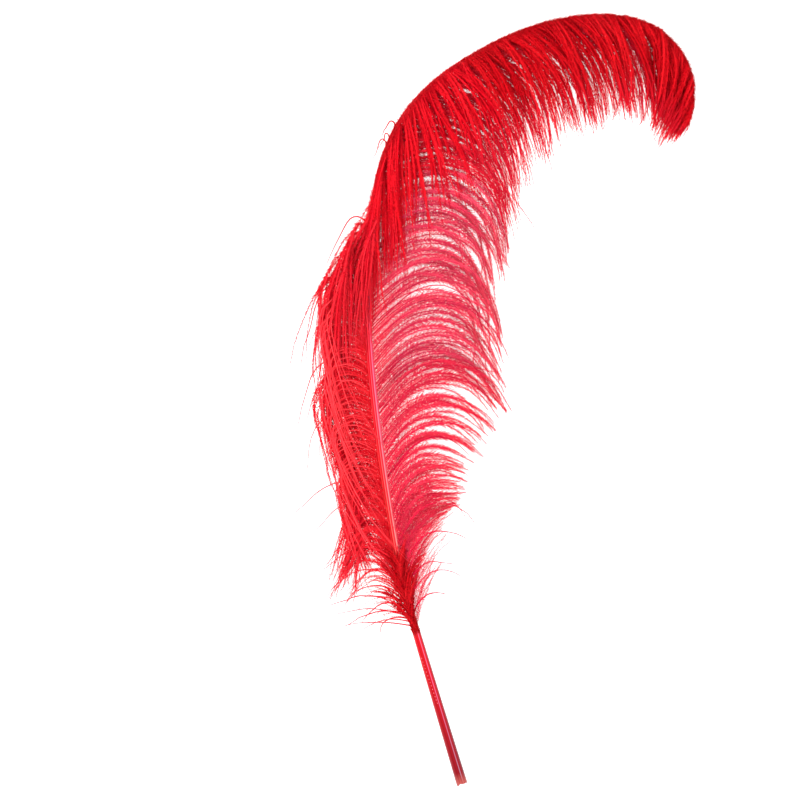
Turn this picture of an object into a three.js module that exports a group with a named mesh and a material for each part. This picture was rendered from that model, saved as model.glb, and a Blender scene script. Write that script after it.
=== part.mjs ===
// A dyed ostrich plume lying on a flat surface, in millimetres, +Z up.
// The shaft runs along +Y from its cut end and hooks over towards +X at the tip.
// The origin is on the surface, under the middle of the plume.
import * as THREE from 'three';

// ---- driving dimensions -------------------------------------------------

// Shaft: [place along it, heading in degrees from +X]. The heading turns evenly in between.
const SHAFT_BENDS = [
  [0, 107], [120, 106.5], [145, 103.5], [185, 99.5], [240, 98], [290, 96], [330, 93], [365, 89],
  [405, 85], [440, 77.5], [468, 66], [498, 50], [535, 34], [575, 26], [612, 14], [645, 2],
  [672, -13], [695, -36], [720, -62], [742, -88], [757, -104],
];
const SHAFT_LENGTH = 757;
const BARBS_START = 125; // the quill below this is bare

// [place along the shaft, radius]
const SHAFT_RADII = [[0, 3.95], [120, 2.85], [300, 2.75], [380, 2.3], [500, 1.6], [650, 0.9], [757, 0.5]];
// [place along the shaft, height of its axis above the surface]
const SHAFT_HEIGHTS = [[0, 3.82], [150, 5.5], [400, 9], [600, 11], [700, 9], [757, 6]];

// Barbs: [place, angle off the shaft, heading at the tip, length, share of the length that turns]
const INNER_BARBS = [
  [125, 20, 30, 52, 1], [155, 25, 5, 70, 1], [186, 32, -15, 84, 1], [214, 38, -25, 92, 1],
  [243, 42, -35, 102, 1], [286, 45, -50, 110, 1], [322, 47, -62, 118, 1], [357, 48, -70, 124, 1],
  [393, 48, -73, 126, 1], [428, 46, -76, 124, 0.95], [457, 45, -78, 122, 0.95],
  [486, 45, -80, 124, 0.95], [518, 42, -80, 116, 0.9], [557, 40, -80, 90, 0.9],
  [600, 40, -80, 80, 0.9], [636, 38, -82, 78, 0.9], [664, 36, -86, 76, 0.9], [688, 34, -98, 74, 0.9],
  [718, 25, -108, 56, 0.9], [741, 15, -114, 36, 0.9], [757, 6, -116, 24, 0.9],
];
const OUTER_BARBS = [
  [125, 45, 215, 40, 1], [160, 45, 220, 46, 1], [214, 52, 220, 46, 1], [250, 52, 218, 48, 1],
  [286, 48, 215, 50, 1], [322, 46, 215, 47, 1], [357, 44, 214, 42, 1], [393, 42, 214, 30, 1],
  [425, 40, 214, 16, 1],
];
// The crown's outer barbs fold over the shaft and hang across the inner vane.
// [place, fall of the tip below the fold's top, heading at the tip, length, share that turns]
const FOLDED_BARBS = [
  [430, 9, -84, 98, 0.3], [457, 9, -84, 100, 0.3], [486, 11, -80, 98, 0.3], [518, 14, -76, 94, 0.3],
  [557, 16, -74, 80, 0.3], [600, 16, -76, 70, 0.3], [636, 16, -82, 66, 0.3], [652, 15, -84, 62, 0.3],
];

const EVEN_TURN = 0.15; // the share of a barb's turn that goes evenly along it
const PATH_STEPS = 8; // from one point of a barb to the next

const CLEARANCE = 0.6; // between a vane and the shaft
const VANE_GAP = 1; // along the shaft, between two vanes that lie flat
const CROWN_GAP = 2; // along the shaft, between the crown's fold and its neighbours
const CROWN_START = 428; // where the outer barbs begin to fold over the shaft
const TUFT_START = 654; // where both vanes close up into the tip's tuft
const RIB_PITCH = 14; // along the shaft
const SHAFT_PITCH = 9;
const SHAFT_SIDES = 12;

// Heights of the vanes above the surface: [share of the barb's length, underside, top].
// The first row is measured from the shaft's axis, the others from the surface.
const INNER_HEIGHTS = { root: [-1.4, 1.4], rows: [[0.22, 2, 9], [0.5, 0, 7], [0.8, 0, 4.5], [1, 0, 1.6]] };
const OUTER_HEIGHTS = { root: [-1.6, 2.4], rows: [[0.3, 1, 13], [0.6, 0, 11], [0.85, 0, 6], [1, 0, 2]] };
const TUFT_HEIGHTS = { root: [-2.2, 4], rows: [[0.25, 1.5, 18], [0.55, 0, 17], [0.85, 0, 11], [1, 0, 4]] };
const VANE_STEPS = 9; // along a barb

const CROWN_THICKNESS = 3.2;
const CROWN_OVERHANG = 4.2; // how far the fold stands out past the shaft's outer side
const CROWN_RISE = 17; // the fold's top above the shaft's axis
const FOLD_STEPS = 5;
const DRAPE_STEPS = 9;

// ---- curves -------------------------------------------------------------

const radians = THREE.MathUtils.degToRad;
const smooth = (x) => THREE.MathUtils.smoothstep(x, 0, 1);

// Reads a table at one place: the row's other values, evenly between its neighbours.
function readAt(rows, place) {
  if (place <= rows[0][0]) return rows[0].slice(1);
  for (let i = 1; i < rows.length; i += 1) {
    if (place <= rows[i][0]) {
      const share = (place - rows[i - 1][0]) / (rows[i][0] - rows[i - 1][0]);
      return rows[i].slice(1).map((value, k) => THREE.MathUtils.lerp(rows[i - 1][k + 1], value, share));
    }
  }
  return rows.at(-1).slice(1);
}

// The shaft's axis seen from above, one point for each millimetre.
const shaftPlan = [new THREE.Vector2(0, 0)];
for (let place = 0; place < SHAFT_LENGTH; place += 1) {
  const heading = radians(readAt(SHAFT_BENDS, place + 0.5)[0]);
  const last = shaftPlan.at(-1);
  shaftPlan.push(new THREE.Vector2(last.x + Math.cos(heading), last.y + Math.sin(heading)));
}

function shaftAt(place) {
  const whole = Math.min(Math.floor(place), SHAFT_LENGTH - 1);
  return {
    point: shaftPlan[whole].clone().lerp(shaftPlan[whole + 1], place - whole),
    heading: readAt(SHAFT_BENDS, place)[0],
    radius: readAt(SHAFT_RADII, place)[0],
    height: readAt(SHAFT_HEIGHTS, place)[0],
  };
}

// One barb seen from above. side is 1 on the outer edge and -1 on the inner edge.
function barbPlan(rows, place, side, steps) {
  const shaft = shaftAt(place);
  const [angle, endHeading, length, turning] = readAt(rows, place);
  const startHeading = shaft.heading + side * angle;
  const away = radians(shaft.heading + side * 90);
  const offset = shaft.radius + CLEARANCE;
  const at = shaft.point.clone().add(new THREE.Vector2(Math.cos(away), Math.sin(away)).multiplyScalar(offset));
  const points = [at.clone()];
  const count = steps * PATH_STEPS;
  for (let i = 0; i < count; i += 1) {
    const share = (i + 0.5) / count;
    const turned = (1 - EVEN_TURN) * smooth(share / turning) + EVEN_TURN * share;
    const heading = radians(startHeading + (endHeading - startHeading) * turned);
    at.x += Math.cos(heading) * length / count;
    at.y += Math.sin(heading) * length / count;
    if ((i + 1) % PATH_STEPS === 0) points.push(at.clone());
  }
  return points;
}

function places(from, to, pitch) {
  const count = Math.round((to - from) / pitch);
  return Array.from({ length: count + 1 }, (_, i) => from + (to - from) * i / count);
}

// ---- solids -------------------------------------------------------------

// A closed solid from rings of points, joined one to the next, with flat ends.
function loft(rings) {
  const size = rings[0].length;
  const positions = rings.flat().flatMap((p) => [p.x, p.y, p.z]);
  const faces = [];
  for (let i = 0; i + 1 < rings.length; i += 1) {
    for (let k = 0; k < size; k += 1) {
      const a = i * size + k;
      const b = i * size + (k + 1) % size;
      faces.push([a, b, b + size], [a, b + size, a + size]);
    }
  }
  const start = endFaces(size, 0).map(([a, b, c]) => [a, c, b]);
  const end = endFaces(size, (rings.length - 1) * size);
  return closedGeometry(positions, [...faces, ...start, ...end]);
}

// Triangles across a ring whose first half runs out along one side and whose second half comes back.
function endFaces(size, first) {
  return Array.from({ length: size / 2 - 1 }, (_, k) => {
    const [a, b, c, d] = [k, k + 1, size - 2 - k, size - 1 - k].map((corner) => corner + first);
    return [[a, b, c], [a, c, d]];
  }).flat();
}

function closedGeometry(positions, faces) {
  const geometry = new THREE.BufferGeometry();
  geometry.setAttribute('position', new THREE.Float32BufferAttribute(positions, 3));
  const outward = signedVolume(positions, faces) > 0;
  geometry.setIndex(faces.flatMap(([a, b, c]) => (outward ? [a, b, c] : [a, c, b])));
  geometry.computeVertexNormals();
  return geometry;
}

function signedVolume(positions, faces) {
  const corner = (k) => new THREE.Vector3().fromArray(positions, 3 * k);
  return faces.reduce((sum, [a, b, c]) => sum + corner(a).dot(corner(b).cross(corner(c))) / 6, 0);
}

function shaftGeometry() {
  const rings = places(0, SHAFT_LENGTH, SHAFT_PITCH).map((place) => {
    const { point, heading, radius, height } = shaftAt(place);
    const across = radians(heading - 90);
    return Array.from({ length: SHAFT_SIDES }, (_, k) => {
      const turn = (k + 0.5) / SHAFT_SIDES * 2 * Math.PI;
      const reach = radius * Math.cos(turn);
      return new THREE.Vector3(
        point.x + Math.cos(across) * reach,
        point.y + Math.sin(across) * reach,
        height + radius * Math.sin(turn),
      );
    });
  });
  return loft(rings);
}

// A flat vane: barb outlines side by side, lying on the surface from about halfway out.
function vaneGeometry(rows, side, from, to, heights) {
  const rings = places(from, to, RIB_PITCH).map((place) => {
    const axis = shaftAt(place).height;
    const profile = [[0, axis + heights.root[0], axis + heights.root[1]], ...heights.rows];
    const plan = barbPlan(rows, place, side, VANE_STEPS);
    const level = (k, which) => readAt(profile, k / VANE_STEPS)[which];
    const under = plan.map((p, k) => new THREE.Vector3(p.x, p.y, level(k, 0)));
    const top = plan.map((p, k) => new THREE.Vector3(p.x, p.y, level(k, 1)));
    return [...under, ...top.reverse()];
  });
  return loft(rings);
}

// The crown: a sheet that rises outside the shaft, folds over it and hangs across the inner vane.
function crownGeometry() {
  const rings = places(CROWN_START + CROWN_GAP, TUFT_START - CROWN_GAP, RIB_PITCH).map((place) => {
    const shaft = shaftAt(place);
    const out = radians(shaft.heading + 90);
    const outward = new THREE.Vector2(Math.cos(out), Math.sin(out));
    const reach = shaft.radius + CROWN_OVERHANG;
    const foldTop = shaft.height + CROWN_RISE;
    const inside = [];
    const outside = [];
    for (let k = 0; k < FOLD_STEPS; k += 1) {
      const turn = k / FOLD_STEPS * Math.PI / 2;
      for (const [line, thickness] of [[inside, CROWN_THICKNESS], [outside, 0]]) {
        const p = shaft.point.clone().addScaledVector(outward, Math.cos(turn) * (reach - thickness));
        const z = shaft.height + Math.sin(turn) * (CROWN_RISE - thickness);
        line.push(new THREE.Vector3(p.x, p.y, z));
      }
    }
    const [fall, endHeading, length, turning] = readAt(FOLDED_BARBS, place);
    const startHeading = shaft.heading - 90;
    const at = shaft.point.clone();
    for (let k = 0; k <= DRAPE_STEPS; k += 1) {
      const share = k / DRAPE_STEPS;
      const z = foldTop - fall * share;
      inside.push(new THREE.Vector3(at.x, at.y, z - CROWN_THICKNESS));
      outside.push(new THREE.Vector3(at.x, at.y, z));
      const heading = radians(THREE.MathUtils.lerp(startHeading, endHeading, smooth(share / turning)));
      at.x += Math.cos(heading) * length / DRAPE_STEPS;
      at.y += Math.sin(heading) * length / DRAPE_STEPS;
    }
    return [...inside, ...outside.reverse()];
  });
  return loft(rings);
}

// ---- the plume ----------------------------------------------------------

const shaftFinish = new THREE.MeshStandardMaterial({ color: 0xb8142a, roughness: 0.35, metalness: 0 });
const outerFinish = new THREE.MeshStandardMaterial({ color: 0xd80f1e, roughness: 0.6, metalness: 0 });
const innerFinish = new THREE.MeshStandardMaterial({ color: 0xee3a56, roughness: 0.6, metalness: 0 });
const crownFinish = new THREE.MeshStandardMaterial({ color: 0xc00a18, roughness: 0.6, metalness: 0 });

const plume = new THREE.Group();

function addPiece(name, geometry, material) {
  const mesh = new THREE.Mesh(geometry, material);
  mesh.name = name;
  plume.add(mesh);
}

addPiece('shaft', shaftGeometry(), shaftFinish);
addPiece('outer_vane', vaneGeometry(OUTER_BARBS, 1, BARBS_START, CROWN_START - CROWN_GAP, OUTER_HEIGHTS), outerFinish);
addPiece('inner_vane', vaneGeometry(INNER_BARBS, -1, BARBS_START, CROWN_START, INNER_HEIGHTS), innerFinish);
addPiece('crown_inner_vane', vaneGeometry(INNER_BARBS, -1, CROWN_START + VANE_GAP, TUFT_START, INNER_HEIGHTS), innerFinish);
addPiece('crown_outer_vane', crownGeometry(), crownFinish);
addPiece('tip_tuft', vaneGeometry(INNER_BARBS, -1, TUFT_START + VANE_GAP, SHAFT_LENGTH, TUFT_HEIGHTS), crownFinish);

// The origin goes under the middle of the plume's box.
const box = new THREE.Box3().setFromObject(plume);
const middle = box.getCenter(new THREE.Vector3());
plume.position.set(-middle.x, -middle.y, -box.min.z);
plume.updateMatrixWorld(true);

export default plume;
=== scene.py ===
import math
from collections import namedtuple

import bmesh
import bpy
import numpy as np
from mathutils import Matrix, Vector


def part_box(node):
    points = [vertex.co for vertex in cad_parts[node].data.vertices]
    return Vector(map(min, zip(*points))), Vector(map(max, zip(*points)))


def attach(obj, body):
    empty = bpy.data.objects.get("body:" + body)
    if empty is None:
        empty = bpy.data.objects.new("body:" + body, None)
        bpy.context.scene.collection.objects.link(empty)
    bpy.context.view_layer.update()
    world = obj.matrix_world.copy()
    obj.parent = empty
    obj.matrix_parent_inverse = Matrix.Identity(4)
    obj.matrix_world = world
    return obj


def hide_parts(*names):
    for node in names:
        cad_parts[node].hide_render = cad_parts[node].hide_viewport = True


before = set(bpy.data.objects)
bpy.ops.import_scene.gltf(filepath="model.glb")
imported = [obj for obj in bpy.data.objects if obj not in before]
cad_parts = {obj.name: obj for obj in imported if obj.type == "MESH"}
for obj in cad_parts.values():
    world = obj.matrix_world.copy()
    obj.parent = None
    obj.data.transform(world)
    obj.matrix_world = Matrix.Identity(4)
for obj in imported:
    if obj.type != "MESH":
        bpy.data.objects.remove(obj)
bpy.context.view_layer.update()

# A dyed ostrich plume on a pale floor. Sizes are in millimetres until a mesh is made, and
# angles in degrees. "Place" is the distance along the shaft from its cut end, and a heading
# turns left from +X. The outer edge is on the left of the shaft, the inner on its right.
MM = 0.001
SEED = 20

# ---- driving dimensions -------------------------------------------------

# [place, heading]
SHAFT_BENDS = [
    (0, 107), (120, 106.5), (145, 103.5), (185, 99.5), (240, 98), (290, 96), (330, 93), (365, 89),
    (405, 85), (440, 77.5), (468, 66), (498, 50), (535, 34), (575, 26), (612, 14), (645, 2),
    (672, -13), (695, -36), (720, -62), (742, -88), (757, -104),
]
SHAFT_LENGTH = 757
SHAFT_RADII = [(0, 3.95), (120, 2.85), (300, 2.75), (380, 2.3), (500, 1.6), (650, 0.9), (757, 0.5)]
SHAFT_HEIGHTS = [(0, 3.96), (150, 5.5), (400, 9), (600, 11), (700, 9), (757, 6)]
SHAFT_RINGS = [0, 1.5, 4, *np.arange(8, SHAFT_LENGTH - 4, 6.5), SHAFT_LENGTH]  # places
SHAFT_SIDES = 16
SHAFT_SMOOTH = 50  # edges sharper than this stay sharp
CAD_SHAFT_SIDES = 12
GROOVE_START = 112
GROOVE_AROUND = 0.375  # 0.5 is the shaft's top
GROOVE_DEPTH = 0.5
SCARS = (60, 96)  # places of the first and the last
SCAR_STEP = 2.6
END_WALL = 0.75
END_DEPTH = 9
END_TAPER = 0.8  # the hollow's width at its bottom
END_TEETH = (0, 1.4)
END_RIM = 0.2  # points this close to the cut belong to its rim
BARBS_START = 118
CROWN_START = 428
TUFT_START = 654
VANE_SPLIT = 280  # each vane is two pieces, which meet at a split
CROWN_SPLIT = 540

# [place, angle off the shaft, heading at the tip, length, turn's start, turn's end, roll]
INNER_BARBS = [
    (118, 26, 58, 46, 0.1, 1, 0), (140, 22, 42, 66, 0.1, 1, 0), (155, 23, 28, 63, 0.1, 1, 0),
    (170, 28, 8, 64, 0.1, 1, 0), (186, 32, -8, 64, 0.1, 1, 0), (214, 38, -28, 66, 0.1, 1, 0),
    (243, 42, -48, 94, 0.08, 1, 0), (266, 43, -55, 116, 0.08, 1, 0), (286, 45, -63, 124, 0.08, 1, 0),
    (322, 47, -75, 126, 0.1, 1, 0), (357, 48, -85, 127, 0.1, 1, 0), (393, 48, -86, 132, 0.08, 1, 0),
    (428, 46, -82, 130, 0.04, 0.98, 0), (457, 45, -79, 125, 0, 0.95, 0), (486, 45, -80, 116, 0, 0.95, 0),
    (518, 42, -79, 110, 0, 0.9, 0), (557, 40, -79, 102, 0, 0.9, 0), (600, 40, -80, 95, 0, 0.9, 0),
    (636, 38, -82, 90, 0, 0.9, 0), (664, 36, -88, 84, 0, 0.9, 0), (688, 34, -110, 86, 0, 1, 0),
    (718, 25, -118, 65, 0, 0.9, 0), (741, 15, -120, 39, 0, 0.9, 0), (757, 6, -112, 19, 0, 0.9, 0),
]
OUTER_BARBS = [
    (118, 50, 232, 34, 0, 1, 0), (130, 42, 228, 44, 0, 1, 0), (145, 34, 232, 56, 0.1, 0.95, 0),
    (160, 31, 246, 68, 0.15, 0.8, 0), (178, 33, 262, 74, 0.2, 0.6, 0), (197, 40, 276, 82, 0.1, 0.54, 0),
    (215, 48, 284, 90, 0.05, 0.52, 0), (235, 56, 290, 98, 0.03, 0.5, 0), (260, 60, 297, 105, 0.02, 0.5, 0),
    (286, 54, 300, 114, 0.02, 0.6, 0.1), (322, 46, 297, 116, 0.06, 0.5, 0.15),
    (357, 44, 289, 115, 0.1, 0.45, 0.2), (380, 41, 283, 116, 0.08, 0.38, 0.3),
    (400, 40, 278, 120, 0.06, 0.32, 0.4), (420, 38, 277, 118, 0.02, 0.14, 0.6),
    (445, 32, 278, 110, 0, 0.12, 0.8),
]
# Long bright barbs that hang across the front of the lower outer vane, towards the shaft. Their lighter,
# pinker colour is a painted highlight.
CROSSING_BARBS = [
    (225, 54, 302, 140, 0.03, 0.4, 0.3), (290, 50, 301, 152, 0.02, 0.36, 0.3),
    (352, 42, 297, 160, 0, 0.32, 0.3),
]
# Single barbs that stand away from their vane, in order of place.
OUTER_STRAYS = [
    (119, 60, 200, 50, 0, 1, 0), (122, 54, 226, 48, 0, 1, 0), (124, 58, 262, 34, 0, 1, 0),
    (126, 60, 196, 60, 0, 1, 0), (128, 64, 212, 56, 0, 1, 0), (133, 50, 240, 50, 0, 1, 0),
    (137, 58, 206, 62, 0, 1, 0), (142, 48, 236, 62, 0, 1, 0), (150, 40, 228, 60, 0, 0.9, 0),
    (166, 36, 226, 68, 0, 0.8, 0), (174, 40, 236, 72, 0, 0.7, 0), (176, 40, 250, 84, 0, 0.5, 0),
    (184, 42, 256, 90, 0, 0.5, 0), (212, 74, 228, 66, 0, 0.8, 0), (222, 72, 222, 74, 0, 0.8, 0),
    (262, 56, 264, 96, 0.1, 0.7, 0), (286, 50, 258, 84, 0.1, 0.8, 0), (300, 50, 264, 98, 0.1, 0.6, 0),
    (316, 50, 264, 80, 0.1, 0.6, 0), (340, 54, 252, 76, 0.1, 0.6, 0), (352, 46, 268, 100, 0.05, 0.5, 0),
    (385, 42, 262, 68, 0.02, 0.45, 0), (405, 34, 252, 52, 0, 0.4, 0), (464, 34, 252, 21, 0, 0.36, 0.3),
    (469, 38, 250, 17, 0, 0.36, 0.3), (478, 32, 246, 18, 0, 0.36, 0.3),
]
INNER_STRAYS = [
    (128, 40, -14, 40, 0, 1, 0), (138, 38, -24, 52, 0, 1, 0), (147, 34, -30, 58, 0, 1, 0),
    (160, 30, -46, 68, 0.1, 1, 0), (178, 34, -58, 84, 0.1, 1, 0), (188, 36, -64, 90, 0.1, 1, 0),
    (204, 38, -34, 84, 0.1, 1, 0), (226, 40, -64, 94, 0.2, 1, 0), (262, 42, -20, 112, 0.1, 1, 0),
    (290, 44, -34, 122, 0.05, 1, 0), (331, 46, -86, 122, 0.2, 1, 0), (384, 46, -92, 124, 0.2, 1, 0),
]
# Short dark barbs that lie along the front of the shaft where the vanes begin.
BASE_OUTER_BARBS = [
    (112, 22, 165, 42, 0.3, 1, 0), (134, 16, 156, 48, 0.3, 1, 0), (158, 16, 150, 32, 0.3, 1, 0),
]
BASE_INNER_BARBS = [
    (112, 18, 64, 42, 0.3, 1, 0), (134, 14, 56, 48, 0.3, 1, 0), (158, 14, 58, 30, 0.3, 1, 0),
]
# [place, angle off the shaft, heading after the fold, heading at the tip, length, length of the fold, roll]
FOLDED_BARBS = [
    (340, 44, 244, 280, 124, 36, 0.4), (360, 43, 245, 277, 124, 33, 0.5), (380, 42, 246, 275, 122, 30, 0.6),
    (395, 41, 247, 273, 118, 25, 0.7), (410, 40, 247, 271, 114, 16, 0.85), (425, 41, 251, 270, 114, 13, 0.93),
    (438, 38, 257, 270, 114, 11, 0.95), (450, 38, 263, 271, 112, 10, 0.96), (462, 36, 268, 272, 112, 9, 0.96),
    (474, 34, 274, 273, 106, 9, 0.96), (486, 30, 284, 275, 101, 9, 0.96), (500, 26, 300, 278, 92, 9, 0.95),
    (518, 20, 312, 280, 84, 9, 0.94), (557, 16, 320, 280, 84, 9, 0.92), (600, 16, 320, 279, 89, 9, 0.9),
    (636, 16, 314, 275, 87, 9, 0.88), (664, 16, 302, 266, 76, 9, 0.85), (688, 16, 286, 257, 72, 9, 0.8),
    (710, 14, 264, 250, 60, 8, 0.75), (735, 10, 252, 243, 42, 7, 0.7), (757, 6, 250, 246, 19, 6, 0.6),
]
EVEN_TURN = 0.15  # the share of a barb's turn that is spread evenly along it
FOLD_FAN = 95  # how far a barb that folds wider than its neighbours hangs away from them
BACK_FOLD = 40  # how far a folded barb may turn the other way
CURL_LIFT = 0.6  # how much of its roll lifts a barb that curls
FOLD_LIFT = 1.25  # and one that folds

# [place where it begins, how far along the shaft it takes]
FULL_BULK = (122, 60)  # barbs grow to their full thickness
FULL_VANE = (130, 35)  # the outer edge grows all its barbs
FOLDS_BESIDE = (345, 45)  # its barbs go over to folding beside the shaft
FOLDS_OVER = (392, 18)  # and then to folding over it
FIRST_BULK = 0.4
FIRST_VANE = 0.3

# How barbs gather in locks, with a range from lock to lock where there is a pair: a lock's width along
# the shaft, how far its barbs close up and from where on, the spread of its heading, how late its barbs
# turn, the share of loose barbs, the heights of its hump and of its tip, and how unevenly its barbs leave
# the shaft
Locks = namedtuple("Locks", "width hold begin turn reach loose hump tip uneven", defaults=(1,))
INNER_LOCKS = Locks((2, 7), (0.25, 0.75), (0.45, 0.8), 2.4, (0.96, 1.04), 0.14, (1, 5), (0.5, 5), 0.4)
UNDER_LOCKS = Locks((2, 6), (0.2, 0.6), (0.3, 0.65), 4, (0.94, 1.05), 0.24, (1, 7), (0.5, 5))
OUTER_LOCKS = Locks((2, 7), (0.1, 0.5), (0.3, 0.6), 9, (0.7, 1.05), 0.3, (3, 8), (0.5, 6))
FOLDED_LOCKS = Locks((2, 6), (0, 0.36), (0.25, 0.6), 2.4, (0.82, 1.18), 0.26, (3, 9), (3, 9), 1.4)
BESIDE_LOCKS = FOLDED_LOCKS._replace(reach=(0.74, 1.06))
TIP_LOCKS = Locks((3, 8), (0.3, 0.8), (0.2, 0.5), 4, (0.9, 1.1), 0.1, (0, 9), (1, 7))
BASE_LOCKS = Locks((2, 6), (0.2, 0.7), (0.2, 0.5), 8, (0.8, 1.2), 0.1, (2, 7), (3, 8))
STRAY_LOCKS = Locks((1, 2), (0, 0), (0.2, 0.5), 0, (1, 1), 0, (2, 9), (1, 9))
CROSSING_LOCKS = Locks((2, 6), (0, 0.15), (0.4, 0.7), 7, (0.9, 1.1), 0.3, (9, 13), (6, 10))

# How a run of barbs is made: the pitch along the shaft, half the barb's width, the pitch, length,
# half width and sweep of its barbules, and how long they are at the barb's root, middle and tip
Strands = namedtuple("Strands", "pitch radius barbule_pitch barbule_length barbule_radius sweep fullness")
INNER_STRANDS = Strands(1.75, 0.38, 0.8, 4.2, 0.25, 40, (1, 1.3, 0.65))
UNDER_STRANDS = Strands(1.05, 0.4, 1.3, 3.3, 0.26, 28, (1.5, 1.15, 0.55))
OUTER_STRANDS = Strands(0.84, 0.39, 1.25, 3.7, 0.29, 31, (1.2, 0.95, 0.4))
CROWN_STRANDS = Strands(0.72, 0.39, 1.25, 3.6, 0.31, 27, (0.95, 1.15, 0.5))
BASE_STRANDS = Strands(0.9, 0.36, 1.25, 3, 0.34, 24, (1.2, 0.95, 0.4))
CROSSING_STRANDS = Strands(3, 0.34, 1.5, 1.4, 0.17, 20, (1, 0.8, 0.4))
LOW_INNER_FULLNESS = ((118, 150, 220, 280), (1.5, 1.2, 1.0, 1.0))  # at these places
EDGE_ROOT = 0.88  # how far from the shaft's axis a barb starts, as a share of its radius
BASE_ROOT = -0.8  # the same for a base barb, which starts on the shaft's other side
FOLD_ROOT = 0.5  # how far inside the shaft's axis a folded barb starts
STRAY_BULK = (1.5, 0.35)  # of its stem and of its fringe
TIP_PITCHES = (1.1, 0.75)  # of the inner and of the outer barbs
TIP_BULK = 1.05
BASE_BULK = 1.1
BASE_LIFT = 2.6

# Differences from lock to lock and from barb to barb: a pair is a range, a single number a spread.
BARB_PLACE = (0.2, 0.8)  # within its pitch
LOCK_LEAN = 1.1
LOCK_LENGTH = (0.88, 1.05)
BARB_LEAN = 1.8
BARB_BEND = 3
BARB_LENGTH = (0.82, 1.05)
BARB_REACH = (0.94, 1.06)
BARB_WIDTH = (0.8, 1.2)
LOOSE_UNEVEN = 3.5  # how unevenly loose barbs leave the shaft
LOOSE_HOLD = 0.1  # how far they close up
HUMP_HEIGHT = 0.8
HUMP_SKEW = 0.75  # less than 1 brings the hump's top nearer to the root
TIP_HEIGHT = (0, 1.5)
TIP_DROP = 0.55  # the share of its lift that a barb has lost at its tip
ROOT_HEIGHT = (0.2, 0.6)  # over the shaft's axis, as a share of its radius
WAVES = (0.8, 1.9, 3.7)  # turns along a barb
WAVE_SIZE = 0.9
WAVE_GROWTH = 1.4
BARB_FLOOR = 0.4  # no barb's axis is lower
BARBULE_FLOOR = 0.1

BARB_FLATNESS = 0.45
STEM_TAPER = 0.65
STEM_TAPER_DELAY = 1.5
STEM_POINT = 0.03
BARBULE_FLATNESS = 0.35
FEWEST_BARBULES = 4
BARBULE_PLACE = (0.1, 0.9)  # within its pitch
BARBULE_LENGTH = (0.65, 1.25)
BARBULE_ROLL = (-18, 24)  # middle and spread
SWEEP_AT_ROOT = 1.5
SWEEP_LOSS = 0.95  # from the barb's root to its tip
SWEEP_SPREAD = 8
LOCK_TONE = 0.45  # the share of a barb's tone that comes from its lock
TONES = 0.49  # stems have tones from 0 to this
FRINGE_TONES = 0.5  # and barbules from this on

VIEW_SIDE = 571  # the floor's width in view
VIEW_MIDDLE = (-44.3, 273.5)  # from the shaft's cut end
CAMERA_LENS = 85
CAMERA_SENSOR = 36

FLOOR_SIDE = 14  # this and the key light's place and width are in metres
FLOOR_GREY = 0.35
FLOOR_GLOW = 1.0
WORLD_LIGHT = 1.7
KEY_PLACE = (-0.5, 0.45, 1.1)
KEY_TILT = (-22, -24, 0)
KEY_WIDTH = 0.9
KEY_POWER = 18

# ---- curves -------------------------------------------------------------

FULLNESS_AT = (0.04, 0.55, 1)  # shares of a barb's length
FINE = 96  # steps along a barb
SHARES = np.linspace(0, 1, FINE + 1)
MIDDLES = (SHARES[1:] + SHARES[:-1]) / 2


def smooth(x):
    """Eases from 0 to 1."""
    x = np.clip(x, 0, 1)
    return x * x * (3 - 2 * x)


def begun(places, start, length):
    return smooth((places - start) / length)


def read_at(rows, places):
    """The columns of a table after its place, read evenly between its rows."""
    table = np.array(rows, float)
    return [np.interp(places, table[:, 0], column) for column in table.T[1:]]


def shaft_plan():
    """The shaft's axis seen from above, one point for each millimetre."""
    heading = np.radians(read_at(SHAFT_BENDS, np.arange(SHAFT_LENGTH) + 0.5)[0])
    steps = np.stack([np.cos(heading), np.sin(heading)], axis=1)
    return np.vstack([np.zeros((1, 2)), np.cumsum(steps, axis=0)])


PLAN = shaft_plan()


def shaft_at(places):
    """The shaft's axis seen from above, its heading, its radius and its axis's height."""
    whole = np.arange(SHAFT_LENGTH + 1)
    point = np.stack([np.interp(places, whole, PLAN[:, k]) for k in (0, 1)], axis=-1)
    return point, *(read_at(rows, places)[0] for rows in (SHAFT_BENDS, SHAFT_RADII, SHAFT_HEIGHTS))


def frame_offset():
    """From the shaft's own millimetres to the frame's, found from the CAD shaft's box."""
    point, heading, radius, _ = shaft_at(np.arange(SHAFT_LENGTH + 1))
    turn = np.radians(heading)
    flats = radius * math.cos(math.pi / CAD_SHAFT_SIDES)
    reach = np.abs(np.stack([np.sin(turn), np.cos(turn)], axis=1)) * flats[:, None]
    low = (point - reach).min(axis=0)
    return np.array([*(np.array(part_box("shaft")[0])[:2] / MM - low), 0])


OFFSET = frame_offset()


def walk(start, heading, level, lift, length):
    """Adds up the steps of many paths: level is the share of each step that stays flat."""
    turn = np.radians(heading)
    moves = np.stack([level * np.cos(turn), level * np.sin(turn), lift + 0 * turn], axis=2)
    path = np.zeros((len(length), FINE + 1, 3))
    path[:, 1:] = np.cumsum(moves * (length / FINE)[:, None, None], axis=1)
    path[:, :, :2] += start[:, None]
    return path


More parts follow.
